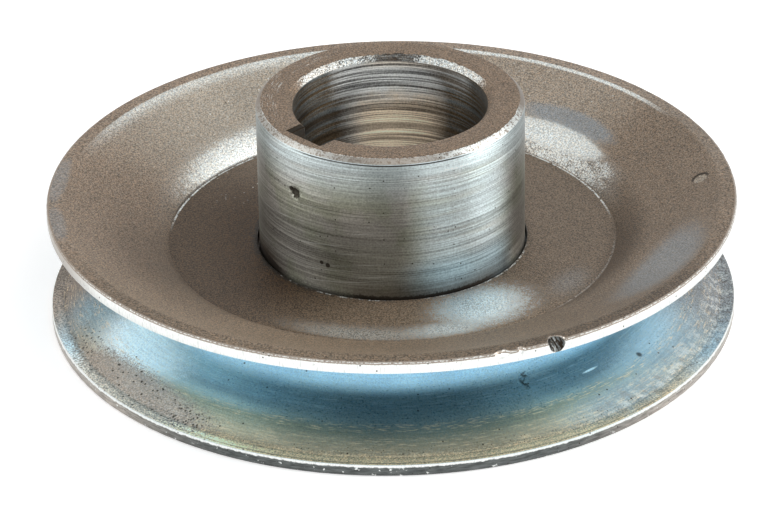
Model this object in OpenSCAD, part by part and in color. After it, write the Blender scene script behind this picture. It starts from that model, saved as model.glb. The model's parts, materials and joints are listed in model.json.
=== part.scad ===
// Belt pulley: two dished flanges pressed from one sheet thickness, set web to web
// round a turned hub that has a plain bore and a broached keyway.
// The pulley stands on the rim of its lower flange, with its axis upright on Z.

/* [Flanges] */
// Outside diameter of both rims
rim_d = 90.5; // [84:0.5:110]
// Width over both rims, from face to face
rim_w = 16.3; // [15:0.1:22]
// Thickness of the pressed sheet
sheet_t = 1.6; // [1.2:0.1:2]
// Diameter of the flat web, up to the crease of the wall
web_d = 59; // [52:0.5:62]
// Width of the flat lip that stiffens the rim
lip_w = 2; // [1:0.1:3]
// Slope of the wall where it leaves the web
wall_angle = 50; // [42:1:58]
// Straight length of the wall between its two bends
wall_flat = 0.1; // [0.05:0.05:1]
// Slope of the cone where it leaves the wall
cone_angle = 16; // [10:1:20]
// Inside radius of the crease at the web
crease_r = 0.25; // [0.1:0.05:0.6]
// Outside radius of the bend from the steep wall to the cone
shoulder_r = 7.8; // [5:0.1:8]
// Outside radius of the bend at the lip
lip_bend_r = 2; // [1.8:0.1:3]
// Break on the sheared edges of the sheet
edge_break = 0.3; // [0.1:0.05:0.4]

/* [Hub] */
// Outside diameter of the hub
hub_d = 35; // [34:0.5:42]
// Height of the hub's top face over the upper web
hub_rise = 20; // [12:0.1:30]
// Length of the hub below the lower web
hub_tail = 4.1; // [3.5:0.1:6]
// Diameter of the bore
bore_d = 25.4; // [20:0.1:26]
// Chamfer at both ends of the bore
bore_chamfer = 0.75; // [0.3:0.05:1]
// Chamfer round both ends of the hub
hub_chamfer = 0.6; // [0.3:0.05:1]
// Width of the keyway
key_w = 6.35; // [4:0.05:8]
// Wall of the hub left behind the keyway, at its middle
key_wall = 1.9; // [1.2:0.1:3]
// Direction of the keyway round the axis
key_angle = 224; // [0:1:359]
// Gap round the hub in the hole of the upper web
loose_gap = 0.25; // [0.1:0.05:0.5]
// Gap round the hub in the hole of the lower web
snug_gap = 0.05; // [0.02:0.01:0.1]

/* [Weld] */
// Leg of the fillet weld between the hub and the lower web
weld_leg = 2.6; // [1.5:0.1:2.8]
// Crown of the weld over its flat face
weld_crown = 0.3; // [0.1:0.05:0.5]

/* [Hidden] */

$fn = 180;
flange_colour = "#857567";
hub_colour = "#9aa09c";
weld_colour = "#7d7f7e";

// Where a solid is cut, the cutter reaches this far past its face
past = 1;
// Angle between neighbouring points on the bends of the sheet
bend_step = 4;

rim_r = rim_d / 2;
hub_r = hub_d / 2;
bore_r = bore_d / 2;
half_t = sheet_t / 2;
joint_z = rim_w / 2;
hub_l = hub_tail + 2 * sheet_t + hub_rise;
hub_bottom_z = joint_z - sheet_t - hub_tail;

// Bend radii on the middle of the sheet
crease_bend_r = crease_r + half_t;
shoulder_bend_r = shoulder_r - half_t;
rim_bend_r = lip_bend_r - half_t;

// Corners of the sheet's middle line, in radius and height over the joint plane
crease_reach = crease_bend_r * tan(wall_angle / 2);
shoulder_reach = shoulder_bend_r * tan((wall_angle - cone_angle) / 2);
wall_l = crease_reach + wall_flat + shoulder_reach;
crease_corner = [web_d / 2 + half_t * tan(wall_angle / 2), half_t];
shoulder_corner = crease_corner + wall_l * along(wall_angle);
lip_corner = [rim_r - lip_w, joint_z - half_t];

// The cone bends once, halfway to the lip, so that both its halves are equally long
cone_chord = lip_corner - shoulder_corner;
cone_swing = atan2(cone_chord.y, cone_chord.x) - cone_angle;
cone_half = norm(cone_chord) / (2 * cos(cone_swing));
cone_corner = shoulder_corner + cone_half * along(cone_angle);
cone_bend_r = (cone_half - shoulder_reach) / tan(abs(cone_swing));

function unit(v) = v / norm(v);
function along(angle) = [cos(angle), sin(angle)];
function left_of(v) = [-v.y, v.x];
function cross_z(a, b) = a.x * b.y - a.y * b.x;
function turned(v, angle) = [v.x * cos(angle) - v.y * sin(angle), v.x * sin(angle) + v.y * cos(angle)];
function reversed(list) = [for (i = [len(list) - 1 : -1 : 0]) list[i]];

// Heading of the straight run that starts at corner i
function heading(line, i) = unit(line[i + 1] - line[i]);

// Turn at corner i in degrees, positive to the left
function turn(line, i) = asin(cross_z(heading(line, i - 1), heading(line, i)));

// Length of straight run that the bend at corner i takes up on either side
function reach(line, radii, i) = radii[i] * tan(abs(turn(line, i)) / 2);

// Arc of the bend at corner i, on the face of the sheet that lies offset to the left of the middle line
function bend_arc(line, radii, i, offset) =
    let (
        angle = turn(line, i),
        hand = sign(angle),
        before = heading(line, i - 1),
        middle = line[i] - reach(line, radii, i) * before + hand * radii[i] * left_of(before),
        radius = radii[i] - hand * offset,
        steps = ceil(abs(angle) / bend_step)
    )
    [for (k = [0 : steps]) middle - hand * radius * turned(left_of(before), angle * k / steps)];

// One face of the sheet from end to end, with the sheared edges broken
function sheet_face(line, radii, offset) =
    let (
        last = len(line) - 1,
        broken = offset - sign(offset) * edge_break,
        first_run = heading(line, 0),
        last_run = heading(line, last - 1)
    )
    concat(
        [line[0] + broken * left_of(first_run)],
        [line[0] + edge_break * first_run + offset * left_of(first_run)],
        [for (i = [1 : last - 1]) each bend_arc(line, radii, i, offset)],
        [line[last] - edge_break * last_run + offset * left_of(last_run)],
        [line[last] + broken * left_of(last_run)]
    );

// Section of one flange, from the hole in its web to its rim
module flange_section(hole_r) {
    line = [
        [hole_r, half_t],
        crease_corner,
        shoulder_corner,
        cone_corner,
        lip_corner,
        [rim_r, lip_corner.y]
    ];
    radii = [0, crease_bend_r, shoulder_bend_r, cone_bend_r, rim_bend_r, 0];
    polygon(concat(sheet_face(line, radii, half_t), reversed(sheet_face(line, radii, -half_t))));
}

module pressed_flange(hole_r) {
    rotate_extrude() flange_section(hole_r);
}

module upper_flange() {
    color(flange_colour)
    translate([0, 0, joint_z])
    pressed_flange(hub_r + loose_gap);
}

module lower_flange() {
    color(flange_colour)
    translate([0, 0, joint_z])
    mirror([0, 0, 1])
    pressed_flange(hub_r + snug_gap);
}

// Blank of the hub: a tube with a chamfer on each of its four edges
module hub_blank() {
    rotate_extrude() polygon([
        [bore_r, bore_chamfer],
        [bore_r + bore_chamfer, 0],
        [hub_r - hub_chamfer, 0],
        [hub_r, hub_chamfer],
        [hub_r, hub_l - hub_chamfer],
        [hub_r - hub_chamfer, hub_l],
        [bore_r + bore_chamfer, hub_l],
        [bore_r, hub_l - bore_chamfer]
    ]);
}

// Cutter of the keyway, which runs through the whole hub
module keyway() {
    rotate([0, 0, key_angle])
    translate([0, -key_w / 2, -past])
    cube([hub_r - key_wall, key_w, hub_l + 2 * past]);
}

module hub() {
    color(hub_colour)
    translate([0, 0, hub_bottom_z])
    difference() {
        hub_blank();
        keyway();
    }
}

// Crowned fillet in the corner between the hub and the underside of the lower web
module hub_weld() {
    corner_z = joint_z - sheet_t;
    chord = weld_leg * sqrt(2);
    crown_r = (chord * chord / 4 + weld_crown * weld_crown) / (2 * weld_crown);
    corner = [hub_r, corner_z];
    outward = [1, -1] / sqrt(2);
    face_middle = corner + weld_leg / sqrt(2) * outward;
    color(weld_colour)
    rotate_extrude() intersection() {
        translate(corner - [0, weld_leg]) square(weld_leg);
        translate(face_middle + (weld_crown - crown_r) * outward) circle(r = crown_r);
    }
}

upper_flange();
lower_flange();
hub();
hub_weld();
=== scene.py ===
"""Looks of a pressed-steel belt pulley: two dished flanges, a turned hub with a keyed bore and its weld."""

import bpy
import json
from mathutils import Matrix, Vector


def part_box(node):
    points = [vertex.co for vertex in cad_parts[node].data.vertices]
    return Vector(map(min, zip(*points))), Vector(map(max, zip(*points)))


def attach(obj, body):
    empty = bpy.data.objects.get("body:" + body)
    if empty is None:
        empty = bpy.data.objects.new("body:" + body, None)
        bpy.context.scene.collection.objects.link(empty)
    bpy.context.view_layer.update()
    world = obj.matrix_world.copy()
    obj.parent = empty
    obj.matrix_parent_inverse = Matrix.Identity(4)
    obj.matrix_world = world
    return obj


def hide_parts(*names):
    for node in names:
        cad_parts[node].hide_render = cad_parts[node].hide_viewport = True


bl_info = {
    "name": "Pressed Belt Pulley",
    "version": (1, 0, 0),
    "blender": (4, 5, 0),
    "location": "View3D > Sidebar > Pulley",
    "description": "Models a worn, zinc-plated belt pulley round its packed solids",
    "category": "Add Mesh",
}

import json
from collections import namedtuple
from functools import reduce
from math import atan2, ceil, cos, exp, hypot, radians, sin, sqrt, tan, tau

import bmesh
import bpy
from bpy.props import FloatProperty, FloatVectorProperty, IntProperty, PointerProperty
from mathutils import Matrix, Vector, noise

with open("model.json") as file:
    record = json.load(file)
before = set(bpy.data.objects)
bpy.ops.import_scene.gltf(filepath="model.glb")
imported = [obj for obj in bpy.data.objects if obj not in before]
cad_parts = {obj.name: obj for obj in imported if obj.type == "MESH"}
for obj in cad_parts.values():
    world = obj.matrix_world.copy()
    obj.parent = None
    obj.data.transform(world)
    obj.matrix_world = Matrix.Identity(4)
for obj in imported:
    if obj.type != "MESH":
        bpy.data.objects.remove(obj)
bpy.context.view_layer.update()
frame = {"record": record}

MM = 0.001
ORIGIN = Vector((0, 0, 0))
AXIS = Vector((0, 0, 1))
SHARP_ANGLE = radians(38)
MERGE_DISTANCE = 0.002 * MM
IMAGE_WIDTH = 780

UPPER_LOW, UPPER_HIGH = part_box("upper_flange")
HUB_LOW, HUB_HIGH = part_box("hub")
WELD_LOW, WELD_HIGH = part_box("hub_weld")
MOUNTS = {mount["name"]: mount for mount in frame["record"]["mounts"]}
RIM_R = UPPER_HIGH.x
RIM_TOP = UPPER_HIGH.z
JOINT_Z = UPPER_LOW.z
HUB_R = HUB_HIGH.x
BORE_R = MOUNTS["bore"]["dims"]["r_mm"] * MM

FLAT_FACE = 0.97  # least upward share of a flat face's normal
CORNER_ANGLE = 1  # least angle between two faces at a corner, in radians
NOISE_ROUGHNESS = 0.55
STREAK_R = 40 * MM  # where streaks have their own length
TINY = 1e-6
DARKEST = 0.1  # least brightness of a metal under its lines
ROUND_THE_AXIS = 0.25  # turn of the brushed shine that runs it round the axis
DISH, GROOVE, EDGE = 0, 1, 2
SIDE, END, BORE = 0, 1, 2

# An Arc is a range of directions round the axis, in degrees. A Spot is a curved oval on a surface, with its
# direction in degrees and its radius and half sizes in millimetres; torn is how ragged its edge is.
Arc = namedtuple("Arc", "middle half soft share", defaults=(1,))
Spot = namedtuple("Spot", "middle r along across soft torn share", defaults=(0, 1))
Lamp = namedtuple("Lamp", "name direction elevation distance width height radiance")

# Painted light and shade: the film on the dish is lighter or darker by its side
CONE_FRONT = Arc(-95, 35, 35)
CONE_SHADED = Arc(-5, 25, 35, 0.8)
# Painted highlight on the cone near the lip, on one side
CONE_HIGHLIGHT = Arc(112, 14, 42), Arc(62, 8, 24, 0.55)
CONE_LIGHT = Arc(-108, 6, 18, 0.13), Arc(-55, 10, 18, -0.17)
# Painted shade at the sides of the walls and on one side of the web, darkest near the hub
CONE_WALL_SHADE = Spot(-154, 33, 14, 4, 0.9, 0, 0.75), Spot(-14, 31.2, 14, 1.9, 0.9)
WEB_SHADE = Arc(-168, 26, 46)
WEB_FRONT = Arc(-88, 26, 30, 0.8)
GREY_PATCHES = (
    Spot(46, 35.6, 7.8, 1.8, 0.25, 0.4),
    Spot(174.5, 44.3, 6, 1.3, 0.25, 0.4, 0.55),
    Spot(190, 44.3, 4.5, 1.2, 0.3, 0.4, 0.55),
    Spot(-31, 26.5, 3.5, 1.8, 0.8, 1, 0.4),
)
# A painted sheen, grey-blue, on one side of the cone
GREY_CONE_SHEEN = (Spot(-27, 39, 10.5, 3.6, 0.35, 0.5, 0.85),)
# Painted highlights on the bends: under the lip, on the walls, along the crease and along the lip's bend
HEM_HIGHLIGHT = Arc(120, 24, 26)
WALL_SHINE = (
    Spot(116, 30.4, 20, 2.4, 0.85, 0.6),
    Spot(38, 30.3, 10, 1.5, 0.7, 0.5, 0.62),
    Spot(46, 32.5, 9, 1.9, 0.5, 0.5),
    Spot(27, 31.6, 4, 1.4, 0.8, 0.5, 0.5),
)
CREASE_SHINE = Arc(92, 72, 14), Arc(-35, 20, 15, 0.2)
# Painted shade: a thin dark line just outside the crease
CREASE_SHADE = Arc(125, 36, 12)
LIP_LINE = Arc(77, 34, 16, 0.85)
LIP_SHINE = Arc(46, 30, 16, 0.05)
# Painted shade on one side of the lip
LIP_SHADE = Arc(-90, 50, 30)
# Painted reflections on one side of the web, inside the crease
WEB_GLINT = (Spot(-98, 26.9, 8, 1.8, 0.7, 1.4, 0.4),)
WEB_REFLECTION = Spot(-60, 22.5, 6, 4.5, 0.4, 1.1), Spot(-74, 26.3, 5, 1.8, 0.5, 1.2, 0.6)
HOLE_LINE = Arc(-125, 25, 12), Arc(-45, 25, 12)
SEAM_DIRT = Arc(-165, 25, 30, 0.85)
SEAM_SOOT = Arc(-165, 20, 20)

GROOVE_SPAN = 30, 45  # radii in millimetres, as are those of the stops
GROOVE_STOPS = (
    (32.7, "root_blue"),
    (34.7, "mid_blue"),
    (36.7, "mid_blue"),
    (39.7, "teal"),
    (42.6, "green_grey"),
)
# Painted light: the groove is lighter away from one side, towards its lip
GROOVE_MIDDLE = Arc(-88, 6, 28)
GROOVE_LIGHT = Arc(-116, 8, 14, 0.15)
GROOVE_TAN = Arc(-92, 50, 20)
# Painted shade under the upper rim on one side of the groove
GROOVE_SHADE = Spot(-86, 36.2, 15, 3.6, 0.7, 0.5), Spot(-47, 36, 9, 3, 0.7)
# Painted highlight on one side of the groove, and painted reflections on another side
GROOVE_SHINE = (Spot(-152, 37.4, 9.5, 4.3, 0.5, 0.6),)
GROOVE_SIDE_REFLECTION = Spot(-19, 39.6, 16, 4, 0.5, 0.8), Spot(-44, 42, 10, 2.2, 0.6, 0.8, 0.8)
GROOVE_FILM = Arc(90, 96, 20)
GROOVE_FILM_SIDE = Arc(180, 70, 30)
GROOVE_STAIN = (Spot(-169, 40, 5, 3.2, 0.8, 1, 0.7),)
GROOVE_SCRATCH = (Spot(-47.6, 36.9, 1.2, 0.15, 0.4, 0, 0.8),)
GROOVE_FLAKES = Arc(-22, 24, 12)
GROOVE_LIP_LINE = Arc(-85, 35, 20, 0.6)
GROOVE_CRUMBS = Arc(-85, 35, 15, 0.8)
SPOILED = (Spot(-142, 43.1, 13.5, 3.4, 0.25, 0.6),)
SPOILED_STAIN = (Spot(-158, 42.6, 7, 3, 0.8, 0, 0.35),)
SPOILED_ENDS = Spot(-161, 42.2, 4, 2.2, 0.5), Spot(-128, 43, 3.6, 2, 0.5)
# Painted light on the lower lip beside the pitted patch
LOWER_LIP_LIGHT = Arc(-148, 22, 18, 0.7)
SCRIBBLE = Spot(-61.1, 33.9, 0.7, 0.6, 0.5, 2), Spot(-62.3, 35.2, 0.4, 0.9, 0.5, 2)
SMUDGE = radians(-35.5), 38.7 * MM, 4.1 * MM
# Painted shade on one side of the lower edge
EDGE_SHADE = Arc(-92, 24, 30)
EDGE_FILM = Arc(182, 16, 20, 0.7)

# Painted light and shade on the hub's side: green and blue painted reflections, highlights on two sides, and
# lighter and darker places by height and side
HUB_GREEN_REFLECTION = Arc(-92, 22, 22, 0.5)
HUB_RIGHT = Arc(-56, 9, 23)
HUB_LEFT = Arc(-127, 9, 24, 0.75)
HUB_BLUE_REFLECTION = Arc(-58, 16, 18, 0.5)
HUB_LOW_LEFT = Arc(-125, 20, 20, 0.12)
HUB_END = Arc(-15, 8, 10, 0.12)
HUB_HIGH_SHADE = Arc(-38, 4, 8, -0.22)
HUB_FOOT_LIGHT = Arc(-122, 10, 12, 0.22), Arc(-13, 12, 10, 0.45), Arc(-46, 10, 10, -0.38)
HUB_BANDS = (  # direction with its light, and heights in millimetres
    (Arc(-92, 12, 14, -0.1), 11, 13),
    (Arc(-104, 16, 14, 0.07), 11, 14),
    (Arc(-74, 8, 10, 0.12), 13, 16),
)
HUB_SCORES = Arc(-150, 40, 30, 0.25)
# Painted highlights on the upper chamfer, and painted shade at the hub's foot
HUB_CHAMFER_SHINE = Arc(-40, 20, 16), Arc(-142, 22, 20, 0.45), Arc(-90, 40, 20, 0.16)
HUB_FOOT_SHADE = Arc(-174, 12, 16, 0.45), Arc(-16, 16, 14, -0.42), Arc(-126, 10, 12, -0.4)
HUB_DARK_LINE = Arc(-95, 30, 14)
HUB_GAP_THICK = Arc(-172, 14, 18)
HUB_GAP_THIN = Arc(-20, 16, 12, 0.7), Arc(-126, 12, 12, 0.6)
HUB_DASHES = (-121.5, 13.9, 0.2), (-118.5, 13.7, 0.25)  # direction, height and half size
# Painted highlights on the end face's outer edge and on two sides of the bore's mouth, and painted shade in
# the mouth between them
FACE_RIM_SHINE = Arc(-40, 22, 16), Arc(-142, 24, 18, 0.6), Arc(-92, 40, 14, 0.6)
FACE_MOUTH_SHINE = Arc(128, 16, 20, 0.65), Arc(48, 12, 22, 0.9)
FACE_MOUTH_SHADE = Arc(88, 26, 20, 0.9)
FACE_SCRATCH = Arc(160, 30, 20, 0.35)
BORE_BROWN = Arc(78, 20, 26)
BORE_WARM = Arc(82, 10, 20, 0.5)
# Painted light low in the bore and round one side of it; the rest of the wall gets painted shade
BORE_LOW_LIGHT = Arc(86, 16, 20)
BORE_LIT = Arc(88, 14, 24), Arc(-70, 25, 30)
BORE_UPPER = Arc(96, 18, 18)
BORE_MOUTH = Arc(52, 10, 12, 0.3)

LAMPS = (
    Lamp("right_softbox", 0, 28, 0.7, 0.5, 0.4, 4.5),
    Lamp("left_softbox", 184, 28, 0.8, 0.6, 0.4, 2.0),
    Lamp("overhead_softbox", -80, 62, 0.8, 0.5, 0.4, 1.6),
)
FLOOR_HALF = 6


def tone(code):
    """Scene colour of a six-digit screen colour."""
    parts = [int(code[i : i + 2], 16) / 255 for i in (0, 2, 4)]
    return tuple(c / 12.92 if c <= 0.04045 else ((c + 0.055) / 1.055) ** 2.4 for c in parts)


def length(name, description, default):
    return FloatProperty(name=name, description=description, default=default, unit="LENGTH", precision=5)


def angle(name, description, default):
    return FloatProperty(name=name, description=description, default=radians(default), subtype="ANGLE")


def number(name, description, default):
    return FloatProperty(name=name, description=description, default=default, subtype="FACTOR")


def colour(name, description, code):
    return FloatVectorProperty(
        name=name, description=description, default=tone(code), subtype="COLOR", size=3, min=0, max=1
    )


class PulleySheetSizes(bpy.types.PropertyGroup):
    """Sizes of the pressed flanges"""

    sheet: length("Sheet", "Thickness of the pressed sheet", 1.6 * MM)
    web_r: length("Web radius", "Radius of the flat web, up to the crease", 29.5 * MM)
    lip_w: length("Lip", "Width of the flat lip", 2 * MM)
    wall_flat: length("Wall", "Straight length of the steep wall", 0.1 * MM)
    wall_angle: angle("Wall slope", "Slope of the wall where it leaves the web", 50)
    cone_angle: angle("Cone slope", "Slope of the cone where it leaves the wall", 16)
    crease_r: length("Crease radius", "Inside radius of the crease", 0.25 * MM)
    shoulder_r: length("Shoulder radius", "Outside radius of the bend into the cone", 7.8 * MM)
    lip_bend_r: length("Lip bend radius", "Outside radius of the bend at the lip", 2 * MM)
    edge_break: length("Edge break", "Break on the rim's edge at the dish", 0.3 * MM)
    burr: length("Burr", "Break on the rim's edge at the groove and on the hole", 0.1 * MM)
    loose_gap: length("Upper gap", "Gap round the hub in the upper web", 0.25 * MM)
    snug_gap: length("Lower gap", "Gap round the hub in the lower web", 0.05 * MM)
    ring_step: length("Ring spacing", "Longest spacing of the rings of points", 0.45 * MM)
    turns: IntProperty(name="Turn steps", description="Steps of the full spin", default=560)


class PulleyHubSizes(bpy.types.PropertyGroup):
    """Sizes of the turned hub and its weld"""

    bore_chamfer: length("Bore chamfer", "Chamfer at both ends of the bore", 0.75 * MM)
    hub_chamfer: length("Hub chamfer", "Chamfer round both ends of the hub", 0.6 * MM)
    key_w: length("Keyway width", "Width of the keyway", 6.35 * MM)
    key_wall: length("Keyway wall", "Wall left behind the keyway", 1.9 * MM)
    key_angle: angle("Keyway angle", "Direction of the keyway round the axis", 224)
    ring_depth: length("Tool marks", "Depth of the tool marks in the bore", 0.06 * MM)
    ring_step: length("Ring spacing", "Spacing of the rings of points in the bore", 0.22 * MM)
    side_step: length("Side spacing", "Spacing of the rings of points elsewhere", 1.2 * MM)
    corner_r: length("Corner", "Rounding of the outline's corners", 0.08 * MM)
    weld_crown: length("Weld crown", "Crown of the weld over its flat face", 0.3 * MM)
    weld_ripple: length("Weld ripple", "Height of the ripples on the weld", 0.12 * MM)
    weld_ripples: IntProperty(name="Weld ripples", description="Half the ripples round the weld", default=46)
    turns: IntProperty(name="Turn steps", description="Steps of the full spin", default=360)


class PulleyWear(bpy.types.PropertyGroup):
    """Marks of use on the flanges and the hub"""

    nick_angle: angle("Nick", "Direction of the nick in the upper rim", -63.5)
    nick_w: length("Nick width", "Width of the nick along the rim", 2.4 * MM)
    nick_depth: length("Nick depth", "Depth of the nick from the rim's corner", 1.5 * MM)
    chip_angle: angle("Chip", "Direction of the small chip in the upper rim", -69.7)
    chip_w: length("Chip width", "Width of the small chip along the rim", 1.0 * MM)
    chip_depth: length("Chip depth", "Depth of the small chip", 0.7 * MM)
    facet_angle: angle("Facet", "Direction of the shallow facet in the upper rim", -72.8)
    facet_w: length("Facet width", "Width of the shallow facet along the rim", 2.2 * MM)
    facet_depth: length("Facet depth", "Depth of the shallow facet", 0.75 * MM)
    dent_angle: angle("Dent", "Direction of the dent in the cone", 5.7)
    dent_r: length("Dent radius", "Distance of the dent from the axis", 41 * MM)
    dent_w: length("Dent width", "Half width of the dent", 1.0 * MM)
    dent_depth: length("Dent depth", "Depth of the dent", 0.3 * MM)
    pit_angle: angle("Pit", "Direction of the pit in the hub's side", -135)
    pit_z: length("Pit height", "Height of the pit in the hub's side", 22.7 * MM)
    pit_w: length("Pit width", "Half width of the pit", 0.75 * MM)
    pit_depth: length("Pit depth", "Depth of the pit", 0.35 * MM)
    mark_reach: length("Mark reach", "Reach of the finer mesh round the dent and the pit", 2.2 * MM)
    ragged: length("Ragged edge", "Unevenness of the sheared edges", 0.05 * MM)


class PulleyColours(bpy.types.PropertyGroup):
    """Colours of the finishes"""

    film: colour("Film", "Brown-grey film on the cones", "8a7a6a")
    # Painted light and shade: the next two colours are lighter and darker copies of the film for different
    # sides of the dish
    front_film: colour("Front film", "Film on one side of the cones and webs", "837361")
    shaded_film: colour("Shaded film", "Darker film on another side of the cones", "77695a")
    # Painted highlight: the film made paler near the lip of the cone and in the dent
    highlight_film: colour("Pale film", "Thin, paler film where the plating shows through", "a8a296")
    web_film: colour("Web film", "Film on the webs", "716456")
    # Painted shade: this brown is the film in shade on one side of the web, at the sides of the walls and
    # round the hub's foot
    shade_brown: colour("Dark web film", "Film on the webs where it is thickest", "443424")
    # Also the colour of a painted sheen on one side of the cone
    grey_film: colour("Grey film", "Cooler film in patches", "8a8e90")
    # Also the colour of painted highlights on the bends of the flanges and on the hub's edges
    zinc: colour("Zinc", "Bright plating on bends and worn places", "d8dcd9")
    # Painted reflection: bluish white on one side of the web
    web_reflection: colour("Wiped plating", "Bluish plating that was wiped clean", "dfe8ea")
    speck: colour("Specks", "Dark specks of dirt", "2e2822")
    edge: colour("Sheared edge", "Bright sheared edge of the sheet", "f0f2ef")
    # Also painted shade on one side of the lower edge and in the bore
    edge_dark: colour("Dull edge", "Dull sheared edge of the sheet", "616463")
    root_blue: colour("Root blue", "Groove at its root", "bcdff2")
    # Also a painted highlight on one side of the groove
    pale_blue: colour("Pale blue", "Polished places in the groove", "e2f2f6")
    # Also a painted reflection low on one side of the hub
    mid_blue: colour("Middle blue", "Groove next to its root", "84a2ae")
    # Painted shade: the groove under the upper rim on one side
    shaded_blue: colour("Deep blue", "Groove where it is darkest", "5f757d")
    teal: colour("Teal", "Groove where the blue turns green", "696f63")
    green_grey: colour("Green grey", "Groove where the belt runs", "827f6f")
    tan: colour("Tan", "Groove towards its lip", "ead2ae")
    side_grey: colour("Side grey", "Groove where a film covers it", "857c73")
    # Painted reflections: the next two colours light one side of the groove and the lip beside its tan
    reflection_blue: colour("Side blue", "Groove beside its polished places", "879fab")
    reflection_pale: colour("Pale side", "Polished side of the groove", "b0c6d0")
    spoiled: colour("Spoiled", "Pitted patch of the groove", "a9a29a")
    steel: colour("Turned steel", "Turned side of the hub", "a5a39c")
    # Also a painted reflection on one side of the hub
    green_steel: colour("Green steel", "Greenish turned side of the hub", "959788")
    # Painted reflection: blue round the hub's upper end and on one side
    blue_steel: colour("Blue steel", "Bluish turned side of the hub", "a6b2b5")
    hub_face: colour("Hub face", "Dull end faces and chamfers of the hub", "7b6a59")
    bore_blue: colour("Bore blue", "Bore wall where it is clean", "d2d4d2")
    bore_brown: colour("Bore brown", "Bore wall, stained", "dccab2")
    # Painted shade: the bore's wall on its sides
    bore_shade: colour("Bore dark", "Bore wall where it is dirty", "605240")
    weld: colour("Weld", "Plated weld", "9a9c9b")
    floor: colour("Floor", "Pale floor", "f2f2f2")


class PulleyStage(bpy.types.PropertyGroup):
    """Camera, lamps and floor"""

    aim_x: length("Aim across", "Point that the camera looks at, across", -0.345 * MM)
    aim_z: length("Aim height", "Point that the camera looks at, in height", 5.932 * MM)
    distance: length("Distance", "Distance of the camera from that point", 596.1 * MM)
    elevation: angle("Elevation", "Height of the camera over the horizon", 28.647)
    roll: angle("Roll", "Roll of the camera", -0.902)
    focal_px: FloatProperty(name="Focal length", description="Focal length in pixels", default=4503.5)
    sky: number("Sky", "Light of the room on dull surfaces", 0.6)
    floor_glow: number("Floor glow", "Share of the floor's white that has no shadow", 0.35)


class Paint:
    """A socket of a shader tree. Arithmetic on it adds Math nodes, and add makes any other node."""

    def __init__(self, tree, socket=None):
        self.tree = tree
        self.socket = socket

    def add(self, kind, settings=None, inputs=None, output=0):
        node = self.tree.nodes.new(kind)
        for name, value in (settings or {}).items():
            if name == "stops":
                ramp = node.color_ramp.elements
                while len(ramp) < len(value):
                    ramp.new(1)
                for element, (position, shade) in zip(ramp, value):
                    element.position = position
                    element.color = (*shade, 1)
            else:
                setattr(node, name, value)
        for name, value in (inputs or {}).items():
            target = node.inputs[name]
            if isinstance(value, Paint):
                self.tree.links.new(value.socket, target)
            elif target.type == "RGBA":
                target.default_value = (*value, 1)
            else:
                target.default_value = value
        return Paint(self.tree, node.outputs[output] if node.outputs else None)

    def out(self, name):
        return Paint(self.tree, self.socket.node.outputs[name])

    def math(self, operation, *values):
        return self.add("ShaderNodeMath", {"operation": operation}, dict(enumerate(values)))

    def __add__(self, other):
        return self.math("ADD", self, other)

    def __sub__(self, other):
        return self.math("SUBTRACT", self, other)

    def __rsub__(self, other):
        return self.math("SUBTRACT", other, self)

    def __mul__(self, other):
        return self.math("MULTIPLY", self, other)

    def __truediv__(self, other):
        return self.math("DIVIDE", self, other)

    def __rtruediv__(self, other):
        return self.math("DIVIDE", other, self)

    def __pow__(self, other):
        return self.math("POWER", self, other)

    __radd__ = __add__
    __rmul__ = __mul__

    def most(self, other):
        return self.math("MAXIMUM", self, other)

    def rise(self, low, high):
        """0 up to low and 1 from high on, with a smooth step between; high may be the smaller one."""
        return self.add(
            "ShaderNodeMapRange",
            {"interpolation_type": "SMOOTHSTEP"},
            {"Value": self, "From Min": low, "From Max": high},
        )

    def band(self, low, high, soft):
        """1 between low and high, fading to 0 over soft on either side."""
        return self.rise(low - soft, low) * self.rise(high + soft, high)

    def blend(self, low, high):
        """Colour from low to high as this value goes from 0 to 1."""
        return self.add("ShaderNodeMix", {"data_type": "RGBA"}, {0: self, 6: low, 7: high}, 2)

    def broken(self, grain):
        """This mask broken up by a grain where it is neither 0 nor 1."""
        return (1.5 * self + grain - 1).rise(0, 0.5)

    def times(self, other):
        """This colour times another one."""
        return self.add("ShaderNodeVectorMath", {"operation": "MULTIPLY"}, {0: self, 1: other})

    def shade(self, value):
        """This colour made lighter or darker by a value."""
        return self.add("ShaderNodeVectorMath", {"operation": "SCALE"}, {0: self, "Scale": value})


def fresh_paint(owner):
    """Empty shader tree of a material or a world."""
    owner.use_nodes = True
    owner.node_tree.nodes.clear()
    return Paint(owner.node_tree)


def seen_directly(paint):
    """1 for what the camera sees, also in a mirror or through glass."""
    path = paint.add("ShaderNodeLightPath")
    return path.most(path.out("Is Glossy Ray")).most(path.out("Is Transmission Ray"))


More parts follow.
